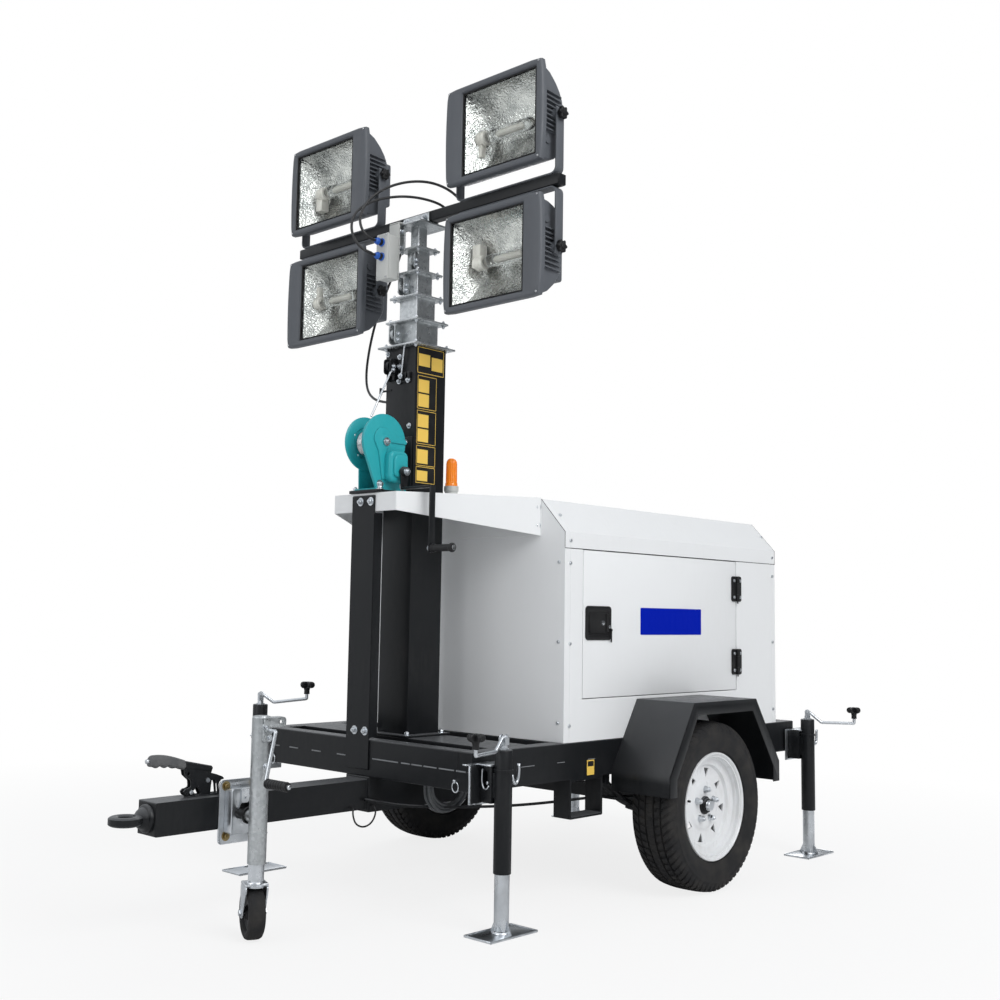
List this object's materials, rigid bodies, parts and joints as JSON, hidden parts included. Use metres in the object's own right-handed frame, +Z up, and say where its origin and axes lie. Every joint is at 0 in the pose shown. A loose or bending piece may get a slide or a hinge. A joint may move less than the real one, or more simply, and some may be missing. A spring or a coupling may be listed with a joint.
{
  "type": "mobile light tower",
  "caption": "Single-axle trailer with a white generator canopy, a telescopic mast with floodlights, slide-out jack stands and a jockey wheel.",
  "frame": {"origin": "middle of the footprint box on the floor", "axes": "+X forwards to the tow eye, +Y to the left side, +Z up"},
  "size_m": [3.071, 1.6, 2.885],
  "materials": {
    "frame_black": "satin black powder coat",
    "canopy_white": "white powder coat",
    "galvanised": "galvanised steel",
    "zinc": "bright zinc plate",
    "winch_teal": "teal paint",
    "lamp_grey": "dark grey die casting",
    "lamp_glass": "clear toughened glass",
    "reflector": "hammered aluminium",
    "tyre": "tyre rubber",
    "rim_white": "white painted steel",
    "beacon_amber": "amber lens",
    "box_grey": "light grey plastic",
    "cable_black": "black cable sheath",
    "engine_grey": "cast iron"
  },
  "bodies": {
    "trailer": {"frame_rails": "frame_black", "frame_beams": "frame_black", "drawbar": "frame_black", "tow_eye": "frame_black", "hand_brake": "frame_black", "axle_set": "frame_black", "fenders": "frame_black", "canopy_ends": "canopy_white", "canopy_sides": "canopy_white", "canopy_roof": "canopy_white", "engine_block": "engine_grey", "mast_tube": "frame_black", "mast_shelf": "canopy_white", "shelf_post": "frame_black", "winch": "winch_teal", "beacon": "beacon_amber", "swivel_plate": "zinc", "breakaway_cable": "cable_black", "cable_coil": "cable_black"},
    "door_left": {"door_left": "canopy_white"},
    "door_right": {"door_right": "canopy_white"},
    "wheel_left": {"tyre_left": "tyre", "rim_left": "rim_white"},
    "wheel_right": {"tyre_right": "tyre", "rim_right": "rim_white"},
    "mast_section_1": {"mast_section_1": "galvanised"},
    "mast_section_2": {"mast_section_2": "galvanised"},
    "mast_section_3": {"mast_section_3": "galvanised"},
    "mast_section_4": {"mast_section_4": "galvanised"},
    "mast_head": {"mast_section_5": "galvanised", "lamp_bar": "frame_black", "junction_box": "box_grey", "lead_over": "cable_black", "lead_bar": "cable_black", "main_lead": "cable_black"},
    "jockey_jack": {"jockey_tube": "galvanised"},
    "jockey_leg": {"jockey_leg": "galvanised"},
    "jockey_fork": {"jockey_fork": "zinc"},
    "jockey_wheel": {"jockey_wheel": "tyre"},
    "lamp_1": {"lamp_housing_1": "lamp_grey", "lamp_glass_1": "lamp_glass", "lamp_optic_1": "reflector"},
    "lamp_2": {"lamp_housing_2": "lamp_grey", "lamp_glass_2": "lamp_glass", "lamp_optic_2": "reflector"},
    "lamp_3": {"lamp_housing_3": "lamp_grey", "lamp_glass_3": "lamp_glass", "lamp_optic_3": "reflector"},
    "lamp_4": {"lamp_housing_4": "lamp_grey", "lamp_glass_4": "lamp_glass", "lamp_optic_4": "reflector"},
    "outrigger_1": {"outrigger_1": "frame_black"},
    "leg_1": {"leg_1": "zinc"},
    "outrigger_2": {"outrigger_2": "frame_black"},
    "leg_2": {"leg_2": "zinc"},
    "outrigger_3": {"outrigger_3": "frame_black"},
    "leg_3": {"leg_3": "zinc"},
    "outrigger_4": {"outrigger_4": "frame_black"},
    "leg_4": {"leg_4": "zinc"}
  },
  "joints": [
    {"name": "door_left_hinge", "type": "hinge", "parent": "trailer", "child": "door_left", "pos_m": [-1.003, 0.554, 0.96], "axis": [0, 0, 1], "range_deg": [0, 110]},
    {"name": "door_right_hinge", "type": "hinge", "parent": "trailer", "child": "door_right", "pos_m": [-1.003, -0.554, 0.96], "axis": [0, 0, -1], "range_deg": [0, 110]},
    {"name": "wheel_left_spin", "type": "hinge", "parent": "trailer", "child": "wheel_left", "pos_m": [-0.4865, 0.692, 0.307], "axis": [0, 1, 0], "continuous": true},
    {"name": "wheel_right_spin", "type": "hinge", "parent": "trailer", "child": "wheel_right", "pos_m": [-0.4865, -0.692, 0.307], "axis": [0, 1, 0], "continuous": true},
    {"name": "mast_slide_1", "type": "slide", "parent": "trailer", "child": "mast_section_1", "axis": [0, 0, 1], "range_m": [0, 1.15]},
    {"name": "mast_slide_2", "type": "slide", "parent": "mast_section_1", "child": "mast_section_2", "axis": [0, 0, 1], "range_m": [0, 1.15]},
    {"name": "mast_slide_3", "type": "slide", "parent": "mast_section_2", "child": "mast_section_3", "axis": [0, 0, 1], "range_m": [0, 1.15]},
    {"name": "mast_slide_4", "type": "slide", "parent": "mast_section_3", "child": "mast_section_4", "axis": [0, 0, 1], "range_m": [0, 1.15]},
    {"name": "mast_slide_5", "type": "slide", "parent": "mast_section_4", "child": "mast_head", "axis": [0, 0, 1], "range_m": [0, 1.15]},
    {"name": "lamp_1_tilt", "type": "hinge", "parent": "mast_head", "child": "lamp_1", "pos_m": [0.3435, 0.45, 2.705], "axis": [0, 1, 0], "range_deg": [-60, 60]},
    {"name": "lamp_2_tilt", "type": "hinge", "parent": "mast_head", "child": "lamp_2", "pos_m": [0.3435, -0.45, 2.705], "axis": [0, 1, 0], "range_deg": [-60, 60]},
    {"name": "lamp_3_tilt", "type": "hinge", "parent": "mast_head", "child": "lamp_3", "pos_m": [0.3435, 0.45, 2.235], "axis": [0, 1, 0], "range_deg": [-60, 60]},
    {"name": "lamp_4_tilt", "type": "hinge", "parent": "mast_head", "child": "lamp_4", "pos_m": [0.3435, -0.45, 2.235], "axis": [0, 1, 0], "range_deg": [-60, 60]},
    {"name": "outrigger_1_slide", "type": "slide", "parent": "trailer", "child": "outrigger_1", "axis": [0, 1, 0], "range_m": [0, 0.4]},
    {"name": "leg_1_slide", "type": "slide", "parent": "outrigger_1", "child": "leg_1", "axis": [0, 0, 1], "range_m": [-0.1, 0.16]},
    {"name": "outrigger_2_slide", "type": "slide", "parent": "trailer", "child": "outrigger_2", "axis": [0, -1, 0], "range_m": [0, 0.4]},
    {"name": "leg_2_slide", "type": "slide", "parent": "outrigger_2", "child": "leg_2", "axis": [0, 0, 1], "range_m": [-0.1, 0.16]},
    {"name": "outrigger_3_slide", "type": "slide", "parent": "trailer", "child": "outrigger_3", "axis": [0, 1, 0], "range_m": [0, 0.4]},
    {"name": "leg_3_slide", "type": "slide", "parent": "outrigger_3", "child": "leg_3", "axis": [0, 0, 1], "range_m": [-0.1, 0.16]},
    {"name": "outrigger_4_slide", "type": "slide", "parent": "trailer", "child": "outrigger_4", "axis": [0, -1, 0], "range_m": [0, 0.4]},
    {"name": "leg_4_slide", "type": "slide", "parent": "outrigger_4", "child": "leg_4", "axis": [0, 0, 1], "range_m": [-0.1, 0.16]},
    {"name": "jockey_swing", "type": "hinge", "parent": "trailer", "child": "jockey_jack", "pos_m": [1.1455, 0.15, 0.366], "axis": [0, 1, 0], "range_deg": [0, 90]},
    {"name": "jockey_slide", "type": "slide", "parent": "jockey_jack", "child": "jockey_leg", "axis": [0, 0, 1], "range_m": [-0.1, 0.045]},
    {"name": "jockey_swivel", "type": "hinge", "parent": "jockey_leg", "child": "jockey_fork", "pos_m": [1.1455, 0.191, 0.17], "axis": [0, 0, 1], "continuous": true},
    {"name": "jockey_wheel_spin", "type": "hinge", "parent": "jockey_fork", "child": "jockey_wheel", "pos_m": [1.1333, 0.16359, 0.08], "axis": [-0.9135, 0.4067, 0], "continuous": true}
  ],
  "couplings": [
    {"joint": "mast_slide_2", "follows": "mast_slide_1", "ratio": 1},
    {"joint": "mast_slide_3", "follows": "mast_slide_1", "ratio": 1},
    {"joint": "mast_slide_4", "follows": "mast_slide_1", "ratio": 1},
    {"joint": "mast_slide_5", "follows": "mast_slide_1", "ratio": 1}
  ]
}
